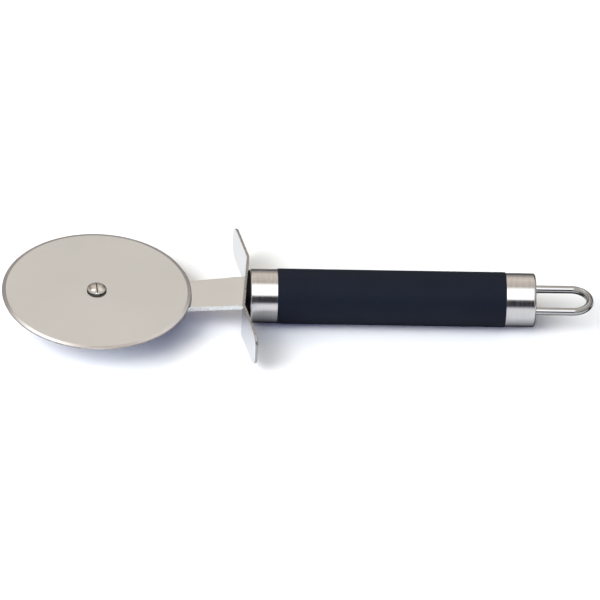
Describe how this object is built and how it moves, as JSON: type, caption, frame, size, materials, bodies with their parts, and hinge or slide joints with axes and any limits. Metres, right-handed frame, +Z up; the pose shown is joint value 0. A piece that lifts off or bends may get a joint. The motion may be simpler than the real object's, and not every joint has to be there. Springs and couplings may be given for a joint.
{
  "type": "pizza cutter wheel",
  "caption": "Hand cutting wheel that spins on a flat arm, with a bent thumb guard, a round soft-sleeved handle between steel ends and a wire hanging loop.",
  "frame": {"origin": "middle of the footprint, on the surface that the handle lies on, straight below the handle's axis", "axes": "+X along the handle from the wheel towards the hanging loop; +Z up, along the wheel's axle on the screw head's side; +Y across"},
  "size_m": [0.219, 0.07, 0.0204],
  "materials": {
    "blade_steel": "satin, ground bevel at the rim",
    "satin_steel": "satin",
    "mirror_steel": "mirror polished faces, plain cut edges",
    "polished_steel": "polished",
    "brushed_end_steel": "fine brushing around the handle",
    "wire_steel": "polished round wire",
    "soft_grip": "matte soft touch, dark blue-black",
    "plug_plastic": "moulded",
    "bush_brass": "turned"
  },
  "bodies": {
    "handle": {"wheel_bush": "bush_brass", "axle_screw": "polished_steel", "head_washer": "polished_steel", "spacer_washer": "polished_steel", "lock_washer": "polished_steel", "axle_nut": "polished_steel", "arm": "satin_steel", "thumb_guard": "mirror_steel", "front_ferrule": "brushed_end_steel", "front_plug": "plug_plastic", "tang_pin": "satin_steel", "core_tube": "satin_steel", "grip_sleeve": "soft_grip", "rear_cap": "brushed_end_steel", "rear_plug": "plug_plastic", "hanging_loop": "wire_steel"},
    "wheel": {"cutting_wheel": "blade_steel"}
  },
  "joints": [
    {"name": "wheel_spin", "type": "hinge", "parent": "handle", "child": "wheel", "pos_m": [-0.07452, 0, 0.011], "axis": [0, 0, 1], "continuous": true}
  ]
}
